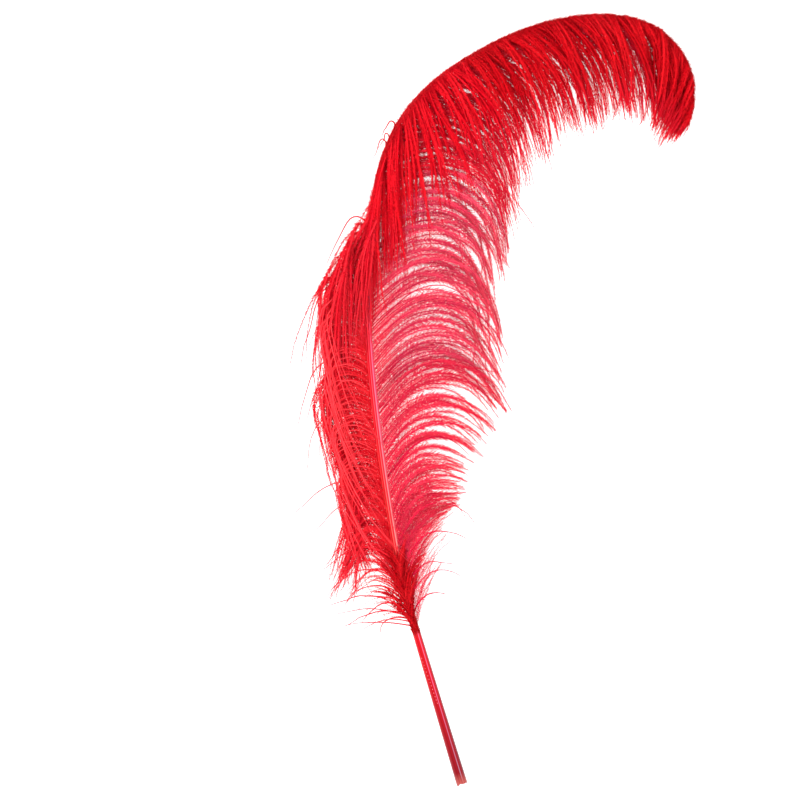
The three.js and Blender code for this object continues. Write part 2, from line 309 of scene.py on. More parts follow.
def curled(rows, side, edge=EDGE_ROOT):
    """Barbs that bend in the vane's own plane, or partly out of it."""
    def make(places, lean, bend, scale, reach):
        point, heading, radius, _ = shaft_at(places)
        angle, end, length, first, last, roll = (column[:, None] for column in read_at(rows, places))
        out = np.radians(heading + side * 90)
        root = point + (edge * radius)[:, None] * np.stack([np.cos(out), np.sin(out)], axis=1)
        start = heading[:, None] + side * (angle + lean[:, None])
        turned = smooth((MIDDLES / reach[:, None] - first) / (last - first))
        bearing = start + (end - start) * ((1 - EVEN_TURN) * turned + EVEN_TURN * MIDDLES)
        bearing = bearing + bend[:, None] * smooth(MIDDLES)
        lift = roll * np.sin(np.pi * turned)
        return walk(root, bearing, np.sqrt(1 - lift**2), lift, length[:, 0] * scale)
    return make


def folded(rows, over_shaft=True):
    """Barbs that leave the outer edge, fold up and over, and hang across the shaft or beside it."""
    def make(places, lean, bend, scale, reach):
        point, heading, _, _ = shaft_at(places)
        angle, after, end, length, fold, roll = (column[:, None] for column in read_at(rows, places))
        length = length * scale[:, None]
        fold = fold * reach[:, None]
        start = heading[:, None] + angle + lean[:, None]
        after = after - FOLD_FAN * (reach[:, None] - 1)
        turn = (start - after + BACK_FOLD) % 360 - (BACK_FOLD if over_shaft else 360 + BACK_FOLD)
        gone = MIDDLES * length
        share = smooth(gone / fold)
        hang = np.clip((gone - fold) / (length - fold), 0, 1)
        bearing = start - turn * share + (end - after + bend[:, None]) * hang
        lift = roll * np.sin(np.pi * share)
        inward = np.radians(heading - 90)
        top = point + FOLD_ROOT * np.stack([np.cos(inward), np.sin(inward)], axis=1)
        return walk(top, bearing, np.sqrt(1 - lift**2), lift, length[:, 0])
    return make


def in_locks(make, places, rng, locks):
    """Grows barbs that gather into locks: their outer parts draw together at the lock's middle."""
    edges = [places[0]]
    while edges[-1] < places[-1]:
        edges.append(edges[-1] + rng.uniform(*locks.width))
    lock = np.searchsorted(edges, places, side="right") - 1
    count, n = len(edges), len(places)
    middle = np.array(edges) + np.mean(locks.width) / 2
    lean, bend = rng.normal(0, LOCK_LEAN, count), rng.normal(0, locks.turn, count)
    scale, reach = rng.uniform(*LOCK_LENGTH, count), rng.uniform(*locks.reach, count)
    loose = rng.random(n) < locks.loose
    uneven = np.where(loose, LOOSE_UNEVEN, locks.uneven)
    own = make(
        places,
        lean[lock] + rng.normal(0, BARB_LEAN, n) * uneven,
        bend[lock] + rng.normal(0, BARB_BEND, n) * uneven,
        scale[lock] * rng.uniform(*BARB_LENGTH, n),
        reach[lock] * rng.uniform(*BARB_REACH, n),
    )
    led = make(middle[lock], lean[lock], bend[lock], scale[lock], reach[lock])
    pull = np.where(loose, LOOSE_HOLD, rng.uniform(*locks.hold, count)[lock])[:, None]
    begin = rng.uniform(*locks.begin, count)[lock][:, None]
    drawn = pull * smooth((SHARES - begin) / (1 - begin))
    return own + (led - own) * drawn[:, :, None], lock


def settled(path, lock, places, rng, locks, lift=1.0):
    """Gives barbs their heights: off the shaft's side, up over a hump and down to the floor."""
    _, _, radius, axis = shaft_at(places)
    count = lock.max() + 1
    rise = rng.uniform(*locks.hump, count)[lock] + rng.normal(0, HUMP_HEIGHT, len(places))
    end = rng.uniform(*locks.tip, count)[lock] + rng.uniform(*TIP_HEIGHT, len(places))
    root = axis + rng.uniform(*ROOT_HEIGHT, len(places)) * radius
    fall = smooth(SHARES)
    height = path[:, :, 2] * lift * (1 - TIP_DROP * fall)
    height = height + root[:, None] * (1 - fall) + end[:, None] * fall
    path[:, :, 2] = height + rise[:, None] * np.sin(np.pi * SHARES**HUMP_SKEW)
    return path


def wavy(path, rng):
    """Adds each barb's own slow waves, which grow towards its tip."""
    n = len(path)
    for axis in range(3):
        wave = np.zeros((n, FINE + 1))
        for turns in WAVES:
            phase = rng.uniform(0, 2 * np.pi, (n, 1))
            size = rng.normal(0, 1, (n, 1)) / turns
            wave += size * np.sin(2 * np.pi * turns * SHARES + phase)
        path[:, :, axis] += WAVE_SIZE * wave * SHARES**WAVE_GROWTH
    path[:, :, 2] = np.maximum(path[:, :, 2], BARB_FLOOR)
    return path


# ---- meshes from arrays -------------------------------------------------

RING_COUNT = 15  # along a barb, closer together near its root
RING_CROWDING = 1.4
RINGS = np.unique(np.round((np.linspace(0, 1, RING_COUNT) ** RING_CROWDING) * FINE).astype(int))
SIDES = 3
TINY = 1e-9
UPRIGHT = 0.05  # a path this close to upright has no side of its own


def directions(path):
    """Unit vectors along a path, to its side and over it."""
    along = np.gradient(path, axis=1)
    along /= np.maximum(np.linalg.norm(along, axis=2, keepdims=True), TINY)
    side = np.cross(np.array([0.0, 0.0, 1.0]), along)
    size = np.linalg.norm(side, axis=2, keepdims=True)
    side = np.where(size > UPRIGHT, side / np.maximum(size, TINY), np.array([1.0, 0.0, 0.0]))
    over = np.cross(along, side)
    return along, side, over


def barb_tubes(path, radius):
    """Tapered three-sided tubes with a ridge on top, closed at the root and drawn to a point."""
    n, rings = len(path), len(RINGS)
    _, side, over = directions(path)
    thick = radius[:, None] * (1 - STEM_TAPER * SHARES[RINGS] ** STEM_TAPER_DELAY)
    thick[:, -1] = STEM_POINT
    turn = np.pi / 2 + np.arange(SIDES) / SIDES * 2 * np.pi
    round_it = side[:, RINGS, None] * np.cos(turn)[:, None]
    round_it = round_it + over[:, RINGS, None] * (BARB_FLATNESS * np.sin(turn))[:, None]
    points = path[:, RINGS, None] + round_it * thick[:, :, None, None]
    ring, corner = np.meshgrid(np.arange(rings - 1), np.arange(SIDES), indexing="ij")
    a = ring * SIDES + corner
    b = ring * SIDES + (corner + 1) % SIDES
    wall = np.stack([a, b, b + SIDES, a, b + SIDES, a + SIDES], axis=-1).reshape(-1, 3)
    last = (rings - 1) * SIDES
    ends = np.array([[0, 2, 1], [last, last + 1, last + 2]])
    faces = np.vstack([wall, ends])
    faces = (faces[None] + (np.arange(n) * rings * SIDES)[:, None, None]).reshape(-1, 3)
    share = np.repeat(SHARES[RINGS], SIDES)
    return points.reshape(-1, 3), faces, np.tile(share, n), np.repeat(np.arange(n), rings * SIDES)


def barbules(path, length, bulk, rng, strands):
    """Fine closed spikes along both sides of each barb, swept towards its tip."""
    along, side, over = directions(path)
    counts = np.maximum((length / strands.barbule_pitch).astype(int), FEWEST_BARBULES)
    barb = np.repeat(np.arange(len(path)), counts * 2)
    nth = np.concatenate([np.repeat(np.arange(c), 2) for c in counts])
    share = (nth + rng.uniform(*BARBULE_PLACE, len(nth))) / counts[barb]
    hand = np.tile([1.0, -1.0], counts.sum())
    at = np.clip(share, 0, 0.999) * FINE
    low = at.astype(int)
    rest = (at - low)[:, None]

    def read(field):
        return field[barb, low] * (1 - rest) + field[barb, low + 1] * rest

    sweep = strands.sweep * (SWEEP_AT_ROOT - SWEEP_LOSS * share) + rng.normal(0, SWEEP_SPREAD, len(barb))
    sweep = np.radians(sweep)[:, None]
    roll = np.radians(rng.normal(*BARBULE_ROLL, len(barb)))[:, None]
    outward = read(side) * hand[:, None] * np.cos(roll) + read(over) * np.sin(roll)
    way = read(along) * np.cos(sweep) + outward * np.sin(sweep)
    way /= np.linalg.norm(way, axis=1, keepdims=True)
    taper = np.interp(share, FULLNESS_AT, strands.fullness) * bulk[barb]
    long = strands.barbule_length * taper * rng.uniform(*BARBULE_LENGTH, len(barb))
    root = read(path)
    tip = root + way * long[:, None]
    tip[:, 2] = np.maximum(tip[:, 2], BARBULE_FLOOR)
    flat = np.cross(way, read(over))
    flat /= np.maximum(np.linalg.norm(flat, axis=1, keepdims=True), TINY)
    up = np.cross(way, flat)
    wide = (strands.barbule_radius * taper)[:, None]
    corners = [
        root + wide * (flat * math.cos(turn) + up * (BARBULE_FLATNESS * math.sin(turn)))
        for turn in (math.pi / 2, math.pi * 7 / 6, math.pi * 11 / 6)
    ]
    points = np.stack([*corners, tip], axis=1).reshape(-1, 3)
    shape = np.array([[0, 1, 3], [1, 2, 3], [2, 0, 3], [0, 2, 1]])
    faces = (shape[None] + (np.arange(len(barb)) * 4)[:, None, None]).reshape(-1, 3)
    return points, faces, np.repeat(share, 4), np.repeat(barb, 4)


def barb_mesh(name, path, lock, bulk, rng, strands, material):
    """One piece of barbs with their barbules. Its map "strand" holds how far along its barb each point
    is, and the barb's tone. "OFBake" gives every barb two rows of its own, one for its stem and one
    for its fringe."""
    length = np.linalg.norm(np.diff(path, axis=1), axis=2).sum(axis=1)
    stems = barb_tubes(path, strands.radius * bulk[:, 0] * rng.uniform(*BARB_WIDTH, len(path)))
    fringe = barbules(path, length, bulk[:, 1], rng, strands)
    points = np.vstack([stems[0], fringe[0]])
    faces = np.vstack([stems[1], fringe[1] + len(stems[0])])
    share = np.concatenate([stems[2], fringe[2]])
    barb = np.concatenate([stems[3], fringe[3]])
    is_fringe = np.concatenate([np.zeros(len(stems[0])), np.ones(len(fringe[0]))])
    tone = LOCK_TONE * rng.random(lock.max() + 1)[lock] + (1 - LOCK_TONE) * rng.random(len(path))

    mesh = bpy.data.meshes.new(name)
    mesh.vertices.add(len(points))
    mesh.vertices.foreach_set("co", ((points + OFFSET) * MM).ravel())
    mesh.loops.add(faces.size)
    mesh.loops.foreach_set("vertex_index", faces.ravel())
    mesh.polygons.add(len(faces))
    mesh.polygons.foreach_set("loop_start", np.arange(0, faces.size, 3))
    mesh.polygons.foreach_set("use_smooth", np.ones(len(faces), bool))
    corner = faces.ravel()
    spread = np.tile([0.1, 0.5, 0.9], len(faces))
    tones = TONES * tone[barb[corner]] + FRINGE_TONES * is_fringe[corner]
    add_map(mesh, "strand", share[corner], tones)
    rows = barb[corner] + 0.25 * spread + 0.5 * is_fringe[corner] + 0.1
    add_map(mesh, "OFBake", share[corner], rows / len(path))
    mesh.update(calc_edges=True)
    mesh.materials.append(material)
    piece = bpy.data.objects.new(name, mesh)
    bpy.context.scene.collection.objects.link(piece)
    return piece


def add_map(mesh, name, across, up):
    layer = mesh.uv_layers.new(name=name)
    layer.data.foreach_set("uv", np.stack([across, up], axis=1).ravel())


# ---- materials ----------------------------------------------------------

def new_material(name):
    material = bpy.data.materials.new(name)
    material.use_nodes = True
    material.node_tree.nodes.clear()
    return material, material.node_tree


def add_node(tree, kind, **values):
    node = tree.nodes.new(kind)
    for key, value in values.items():
        if key.startswith("in_"):
            node.inputs[key[3:].replace("_", " ")].default_value = value
        else:
            setattr(node, key, value)
    return node


def give(tree, socket, value):
    """Links a socket to the one its value comes from, or sets it to a plain value."""
    if isinstance(value, bpy.types.NodeSocket):
        tree.links.new(value, socket)
    else:
        socket.default_value = value


def add_math(tree, operation, *values):
    node = add_node(tree, "ShaderNodeMath", operation=operation)
    for socket, value in zip(node.inputs, values):
        give(tree, socket, value)
    return node.outputs[0]


def add_range(tree, value, first, last, low=0.0, high=1.0, **settings):
    """Goes from low to high while the value goes from first to last."""
    node = add_node(tree, "ShaderNodeMapRange", **settings)
    give(tree, node.inputs["Value"], value)
    give(tree, node.inputs["From Min"], first)
    give(tree, node.inputs["From Max"], last)
    give(tree, node.inputs["To Min"], low)
    give(tree, node.inputs["To Max"], high)
    return node.outputs[0]


def add_mix(tree, factor, first, second, **settings):
    """Goes from the first colour to the second while the factor goes from 0 to 1."""
    node = add_node(tree, "ShaderNodeMix", data_type="RGBA", **settings)
    give(tree, node.inputs["Factor"], factor)
    give(tree, node.inputs[6], first)
    give(tree, node.inputs[7], second)
    return node.outputs[2]


def add_ramp(tree, value, stops):
    node = tree.nodes.new("ShaderNodeValToRGB")
    elements = node.color_ramp.elements
    while len(elements) < len(stops):
        elements.new(0.5)
    for element, (position, colour) in zip(elements, stops):
        element.position = position
        element.color = (*colour, 1)
    give(tree, node.inputs[0], value)
    return node.outputs[0]


def strand_colours():
    """Dye along a strand, uneven from strand to strand. Fringe is how much lighter the barbules are
    than the stem, and Palest is the saturation of the palest strands."""
    group = bpy.data.node_groups.new("dyed strand", "ShaderNodeTree")
    for name in ("Root", "Middle", "Tip"):
        group.interface.new_socket(name, in_out="INPUT", socket_type="NodeSocketColor")
    for name in ("Unevenness", "Fringe", "Palest"):
        group.interface.new_socket(name, in_out="INPUT", socket_type="NodeSocketFloat")
    for name in ("Color", "Glow"):
        group.interface.new_socket(name, in_out="OUTPUT", socket_type="NodeSocketColor")
    group.interface.new_socket("Roughness", in_out="OUTPUT", socket_type="NodeSocketFloat")
    given = group.nodes.new("NodeGroupInput")
    result = group.nodes.new("NodeGroupOutput")
    strand = add_node(group, "ShaderNodeUVMap", uv_map="strand")
    parts = group.nodes.new("ShaderNodeSeparateXYZ")
    give(group, parts.inputs[0], strand.outputs[0])
    share, number = parts.outputs["X"], parts.outputs["Y"]

    early = add_range(group, share, 0.0, 0.3, interpolation_type="SMOOTHSTEP")
    late = add_range(group, share, 0.5, 1.0, interpolation_type="SMOOTHSTEP")
    dye = add_mix(group, early, given.outputs["Root"], given.outputs["Middle"])
    dye = add_mix(group, late, dye, given.outputs["Tip"])

    tone = add_node(group, "ShaderNodeTexWhiteNoise", noise_dimensions="1D")
    give(group, tone.inputs["W"], number)
    blotch = add_node(group, "ShaderNodeTexNoise", noise_dimensions="2D", in_Scale=9.0, in_Detail=3.0)
    give(group, blotch.inputs["Vector"], strand.outputs[0])
    swing = add_math(group, "ADD", tone.outputs["Value"], blotch.outputs[0])
    swing = add_math(group, "SUBTRACT", swing, 1.0)
    swing = add_math(group, "MULTIPLY_ADD", swing, given.outputs["Unevenness"], 0.99)
    fringe = add_math(group, "GREATER_THAN", number, (TONES + FRINGE_TONES) / 2)
    halved = add_math(group, "MULTIPLY", given.outputs["Fringe"], -0.5)
    apart = add_math(group, "MULTIPLY_ADD", fringe, given.outputs["Fringe"], halved)
    sheer = add_math(group, "MULTIPLY_ADD", apart, 3.0, tone.outputs["Value"])
    shade = add_node(group, "ShaderNodeHueSaturation")
    give(group, shade.inputs["Color"], dye)
    give(group, shade.inputs["Saturation"], add_range(group, sheer, 0.0, 1.0, 1.0, given.outputs["Palest"]))
    give(group, shade.inputs["Value"], add_math(group, "ADD", swing, apart))
    glow = add_node(group, "ShaderNodeHueSaturation", in_Saturation=1.0, in_Value=1.05)
    give(group, glow.inputs["Color"], shade.outputs[0])
    give(group, result.inputs["Color"], shade.outputs[0])
    give(group, result.inputs["Glow"], glow.outputs[0])
    give(group, result.inputs["Roughness"], add_range(group, blotch.outputs[0], 0.0, 1.0, 0.4, 0.62))
    return group


STRAND = strand_colours()


def barb_finish(name, root, middle, tip, unevenness, fringe, palest):
    """Soft dyed barbs: a low gloss in front, and light that passes through from behind."""
    material, tree = new_material(name)
    dye = add_node(tree, "ShaderNodeGroup", node_tree=STRAND)
    for socket, colour in (("Root", root), ("Middle", middle), ("Tip", tip)):
        dye.inputs[socket].default_value = (*colour, 1)
    for socket, amount in (("Unevenness", unevenness), ("Fringe", fringe), ("Palest", palest)):
        dye.inputs[socket].default_value = amount
    front = add_node(tree, "ShaderNodeBsdfPrincipled")
    front.inputs["Specular IOR Level"].default_value = 0.05
    front.inputs["Specular Tint"].default_value = (1, 0.2, 0.27, 1)
    through = tree.nodes.new("ShaderNodeBsdfTranslucent")
    blend = add_node(tree, "ShaderNodeMixShader")
    blend.inputs[0].default_value = 0.38
    output = tree.nodes.new("ShaderNodeOutputMaterial")
    give(tree, front.inputs["Base Color"], dye.outputs["Color"])
    give(tree, front.inputs["Roughness"], dye.outputs["Roughness"])
    give(tree, through.inputs["Color"], dye.outputs["Glow"])
    give(tree, blend.inputs[1], front.outputs[0])
    give(tree, blend.inputs[2], through.outputs[0])
    give(tree, output.inputs["Surface"], blend.outputs[0])
    return material


OUTER_FINISH = barb_finish(
    "outer barbs", (0.92, 0.004, 0.018), (0.95, 0.006, 0.026), (0.95, 0.016, 0.046), 0.36, -0.1, 0.96,
)
# Lighter and pinker than the outer barbs: a painted highlight.
CROSSING_PAINTED_HIGHLIGHT = barb_finish(
    "crossing barbs", (0.98, 0.02, 0.04), (1, 0.04, 0.06), (1, 0.036, 0.06), 0.3, -0.1, 0.95,
)
INNER_LOW_FINISH = barb_finish(
    "inner barbs", (0.86, 0.007, 0.06), (0.86, 0.008, 0.064), (0.84, 0.006, 0.042), 0.4, 0.32, 0.945,
)
INNER_HIGH_FINISH = barb_finish(
    "upper inner barbs", (0.84, 0.006, 0.05), (0.8, 0.009, 0.076), (0.76, 0.006, 0.048), 0.42, 0.38, 0.91,
)
UNDER_FINISH = barb_finish(
    "crown's inner barbs", (0.82, 0.003, 0.02), (0.86, 0.005, 0.03), (0.84, 0.008, 0.04), 0.34, 0.04, 0.97,
)
SHOULDER_FINISH = barb_finish(
    "shoulder barbs", (0.68, 0.001, 0.01), (0.9, 0.003, 0.016), (0.92, 0.009, 0.034), 0.36, -0.08, 0.985,
)
CROWN_FINISH = barb_finish(
    "crown barbs", (0.6, 0.001, 0.006), (0.8, 0.002, 0.01), (0.9, 0.009, 0.03), 0.38, -0.1, 0.985,
)
BASE_FINISH = barb_finish(
    "base barbs", (0.56, 0.001, 0.004), (0.74, 0.002, 0.009), (0.88, 0.01, 0.03), 0.35, -0.1, 0.98,
)


def quill_finish():
    """Horny dyed quill: glossy, browner at the cut end, striped lengthwise with painted highlight lines and
    painted shade towards its underside, with a row of small scars.
    """
    material, tree = new_material("quill")
    quill = add_node(tree, "ShaderNodeUVMap", uv_map="quill")
    parts = tree.nodes.new("ShaderNodeSeparateXYZ")
    give(tree, parts.inputs[0], quill.outputs[0])
    around, place = parts.outputs["X"], parts.outputs["Y"]

    dye = add_ramp(tree, place, [
        (0.0, (0.16, 0.003, 0.008)), (0.05, (0.24, 0.002, 0.007)), (0.1, (0.38, 0.002, 0.008)),
        (0.17, (0.52, 0.003, 0.01)), (0.24, (0.76, 0.007, 0.016)), (0.38, (0.74, 0.004, 0.016)),
        (0.48, (0.5, 0.002, 0.01)), (1.0, (0.4, 0.002, 0.008)),
    ])
    # Painted highlight and painted shade round the bare quill, where 0.5 is its top: a lighter band on one
    # side, darker just before the top, a bright pink highlight line just past it, and darker towards the
    # underside.
    bare_painted_light = add_ramp(tree, around, [
        (0.0, (0.5, 0.4, 0.6)), (0.26, (0.9, 0.8, 0.8)), (0.32, (1.1, 1.3, 1.2)), (0.37, (0.85, 0.5, 0.5)),
        (0.47, (0.78, 0.4, 0.4)), (0.53, (0.9, 0.8, 0.8)), (0.55, (1.3, 50, 24)), (0.57, (0.95, 1, 1)),
        (0.63, (0.85, 0.7, 0.8)), (0.67, (0.5, 0.4, 1)), (1.0, (0.35, 0.4, 1)),
    ])
    # Painted highlights round the rachis: thin bright pink lines about its top, with darker painted shade
    # between them, along the groove and towards the underside.
    vane_painted_light = add_ramp(tree, around, [
        (0.0, (0.6, 0.5, 0.5)), (0.33, (0.85, 0.8, 0.8)), (0.35, (1.3, 16, 5)), (0.365, (0.8, 0.8, 0.8)),
        (0.39, (0.6, 0.5, 0.6)), (0.42, (0.7, 0.8, 0.8)), (0.455, (0.75, 1, 1)), (0.47, (1.3, 26, 8)),
        (0.49, (0.65, 1, 1)), (0.53, (0.6, 1, 1)), (0.55, (1, 8, 4)), (0.58, (1.3, 44, 17)),
        (0.6, (1, 14, 8)), (0.625, (0.55, 1, 1)), (0.66, (1.3, 34, 15)), (0.69, (0.6, 2, 2)),
        (1.0, (0.5, 0.5, 0.5)),
    ])
    # The painted highlights and shade change from the bare quill's to the rachis's where the vanes begin, and
    # multiply the dye.
    painted_highlights_and_shade = add_mix(tree, add_range(tree, place, 0.145, 0.175), bare_painted_light, vane_painted_light)
    dye_with_painted_light = add_mix(tree, 1.0, dye, painted_highlights_and_shade, blend_type="MULTIPLY")

    # A row of pale scars, which starts on the quill's top and drifts towards its outer side.
    scars = add_math(tree, "PINGPONG", place, 0.5 * SCAR_STEP / SHAFT_LENGTH)
    drift = add_range(tree, place, SCARS[0] / SHAFT_LENGTH, SCARS[1] / SHAFT_LENGTH, 0.5, 0.41)
    aside = add_math(tree, "SUBTRACT", around, drift)
    scarred = add_range(tree, scars, 0.34 * SCAR_STEP / SHAFT_LENGTH, 0.46 * SCAR_STEP / SHAFT_LENGTH)
    for value, first, last in (
        (aside, -0.013, -0.006),
        (aside, 0.013, 0.006),
        (place, (SCARS[0] - 1) / SHAFT_LENGTH, (SCARS[0] + 1) / SHAFT_LENGTH),
        (place, (SCARS[1] + 1) / SHAFT_LENGTH, (SCARS[1] - 1) / SHAFT_LENGTH),
    ):
        scarred = add_math(tree, "MULTIPLY", scarred, add_range(tree, value, first, last))
    # The scars and the cut end's own colour go over the dye with its painted highlights and shade.
    worn_with_painted_light = add_mix(tree, scarred, dye_with_painted_light, (0.75, 0.2, 0.22, 1))
    worn_with_painted_light = add_mix(tree, add_range(tree, place, 0.003, 0.012, 0.9, 0.0), worn_with_painted_light, (0.3, 0.06, 0.05, 1))

    stretch = add_node(tree, "ShaderNodeMapping")
    stretch.inputs["Scale"].default_value = (26, 5, 1)
    give(tree, stretch.inputs["Vector"], quill.outputs[0])
    lines = add_node(tree, "ShaderNodeTexNoise", noise_dimensions="2D", in_Scale=1.0, in_Detail=4.0)
    give(tree, lines.inputs["Vector"], stretch.outputs[0])
    colour = add_node(tree, "ShaderNodeHueSaturation")
    give(tree, colour.inputs["Color"], worn_with_painted_light)
    give(tree, colour.inputs["Value"], add_range(tree, lines.outputs[0], 0.3, 0.7, 0.75, 1.15))
    bump = add_node(tree, "ShaderNodeBump", in_Strength=0.35, in_Distance=0.0003)
    give(tree, bump.inputs["Height"], lines.outputs[0])
    surface = add_node(tree, "ShaderNodeBsdfPrincipled")
    surface.inputs["Specular IOR Level"].default_value = 0.5
    surface.inputs["Specular Tint"].default_value = (1, 0.15, 0.2, 1)
    surface.inputs["Roughness"].default_value = 0.35
    give(tree, surface.inputs["Base Color"], colour.outputs[0])
    give(tree, surface.inputs["Normal"], bump.outputs[0])
    output = tree.nodes.new("ShaderNodeOutputMaterial")
    give(tree, output.inputs["Surface"], surface.outputs[0])
    return material


QUILL_FINISH = quill_finish()


# ---- shaft --------------------------------------------------------------

def shaft_point(place):
    """The shaft's middle in metres of the frame, its heading, and its radius in metres."""
    point, heading, radius, height = shaft_at(float(place))
    return (np.array([*point, height]) + OFFSET) * MM, float(heading), float(radius) * MM


def pick(chosen):
    """Selects the points of the mesh in edit mode where chosen is true, and no others."""
    bm = bmesh.from_edit_mesh(bpy.context.object.data)
    for vertex, wanted in zip(bm.verts, chosen):
        vertex.select = bool(wanted)
    bm.select_flush_mode()
    bmesh.update_edit_mesh(bpy.context.object.data)


def round_shaft(mesh):
    """Each point's place along the shaft and its share round it, where 0.5 is the shaft's top."""
    co = np.empty(len(mesh.vertices) * 3)
    mesh.vertices.foreach_get("co", co)
    co = co.reshape(-1, 3) / MM - OFFSET
    place = ((co[:, None, :2] - PLAN[None]) ** 2).sum(axis=2).argmin(axis=1)
    point, heading, _, height = shaft_at(place)
    turn = np.radians(heading)
    gap = co - np.column_stack([point, height])
    across = gap[:, 0] * np.sin(turn) - gap[:, 1] * np.cos(turn)
    return place, (np.arctan2(across, gap[:, 2]) / (2 * np.pi) + 0.5) % 1


def shaft_piece():
    """Extruded ring by ring along its bends, then grooved and hollowed at the cut end."""
    here, heading, radius = shaft_point(SHAFT_RINGS[0])
    bpy.ops.object.select_all(action="DESELECT")
    bpy.ops.mesh.primitive_circle_add(
        vertices=SHAFT_SIDES, radius=radius, fill_type="NGON", location=here,
        rotation=(math.pi / 2, 0, math.radians(heading + 90)),
    )
    piece = bpy.context.object
    piece.name = "shaft_detailed"
    bpy.ops.object.transform_apply(location=True, rotation=True, scale=True)
    bpy.ops.object.mode_set(mode="EDIT")
    for place in SHAFT_RINGS[1:]:
        there, towards, size = shaft_point(place)
        bpy.ops.mesh.extrude_region_move(TRANSFORM_OT_translate={"value": tuple(there - here)})
        bpy.ops.transform.rotate(
            value=math.radians(heading - towards), orient_axis="Z", center_override=tuple(there)
        )
        bpy.ops.transform.resize(value=(size / radius,) * 3, center_override=tuple(there))
        here, heading, radius = there, towards, size
    bpy.ops.mesh.select_all(action="SELECT")
    bpy.ops.mesh.normals_make_consistent(inside=False)
    bpy.ops.object.mode_set(mode="OBJECT")

    place, around = round_shaft(piece.data)
    bpy.ops.object.mode_set(mode="EDIT")
    pick((place > GROOVE_START) & (np.abs(around - GROOVE_AROUND) < 0.5 / SHAFT_SIDES))
    bpy.ops.transform.shrink_fatten(value=-GROOVE_DEPTH * MM)
    hollow_end(place)
    bpy.ops.object.mode_set(mode="OBJECT")
    bpy.ops.object.shade_smooth_by_angle(angle=math.radians(SHAFT_SMOOTH))

    place, around = round_shaft(piece.data)
    corner = np.empty(len(piece.data.loops), int)
    piece.data.loops.foreach_get("vertex_index", corner)
    add_map(piece.data, "quill", around[corner], place[corner] / SHAFT_LENGTH)
    piece.data.materials.append(QUILL_FINISH)
    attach(piece, "root")
    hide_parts("shaft")


def hollow_end(place):
    """Opens the quill at its cut end and leaves the rim ragged."""
    end, heading, radius = shaft_point(0)
    turn = math.radians(heading)
    along = np.array([math.cos(turn), math.sin(turn), 0]) * MM
    pick(place == 0)
    bpy.ops.mesh.inset(thickness=END_WALL * MM)
    bpy.ops.mesh.extrude_region_move(TRANSFORM_OT_translate={"value": tuple(END_DEPTH * along)})
    bpy.ops.transform.resize(value=(END_TAPER,) * 3, center_override=tuple(end + END_DEPTH * along))
    bm = bmesh.from_edit_mesh(bpy.context.object.data)
    rng = np.random.default_rng(SEED)
    depth = rng.uniform(*END_TEETH, SHAFT_SIDES)
    for vertex in bm.verts:
        gap = (np.array(vertex.co) - end) / MM
        if abs(gap @ along / MM) > END_RIM:
            continue
        side = gap[0] * math.sin(turn) - gap[1] * math.cos(turn)
        number = round((math.atan2(side, gap[2]) / (2 * math.pi) + 0.5) * SHAFT_SIDES) % SHAFT_SIDES
        vertex.co = vertex.co + Vector(depth[number] * along)
    bmesh.update_edit_mesh(bpy.context.object.data)


# ---- barbs --------------------------------------------------------------

# Every piece of barbs has random numbers of its own, which follow from SEED and its number.

def along_shaft(first, last, pitch, rng):
    """Places a pitch apart, each moved a little."""
    count = int(round((last - first) / pitch))
    return first + (last - first) * (np.arange(count) + rng.uniform(*BARB_PLACE, count)) / count


def grown(make, places, rng, locks, lift=1.0):
    path, lock = in_locks(make, places, rng, locks)
    return settled(path, lock, places, rng, locks, lift), lock


def bulk_at(places):
    """How full each barb's stem and fringe are: both are slimmer where the vanes begin."""
    full = FIRST_BULK + (1 - FIRST_BULK) * begun(places, *FULL_BULK)
    return np.stack([full, full], axis=1)


def finish_piece(name, path, lock, bulk, rng, strands, finish, node):
    piece = barb_mesh(name, wavy(path, rng), lock, bulk, rng, strands, finish)
    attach(piece, "root")
    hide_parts(node)


def with_strays(path, lock, bulk, rows, side, first, last, rng):
    """Adds the single barbs whose places lie between first and last."""
    places = np.array(rows, float)[:, 0]
    places = places[(first <= places) & (places < last)]
    if not len(places):
        return path, lock, bulk
    single = grown(curled(rows, side), places, rng, STRAY_LOCKS)
    path, lock = joined([(path, lock), single])
    return path, lock, np.vstack([bulk, np.full((len(places), 2), STRAY_BULK)])


def inner_barbs(name, first, last, finish, node, number):
    rng = np.random.default_rng(SEED + number)
    strands, locks = (UNDER_STRANDS, UNDER_LOCKS) if first >= CROWN_START else (INNER_STRANDS, INNER_LOCKS)
    places = along_shaft(first, last, strands.pitch, rng)
    path, lock = grown(curled(INNER_BARBS, -1), places, rng, locks)
    bulk = bulk_at(places)
    bulk[:, 1] *= np.interp(places, *LOW_INNER_FULLNESS)
    path, lock, bulk = with_strays(path, lock, bulk, INNER_STRAYS, -1, first, last, rng)
    finish_piece(name, path, lock, bulk, rng, strands, finish, node)


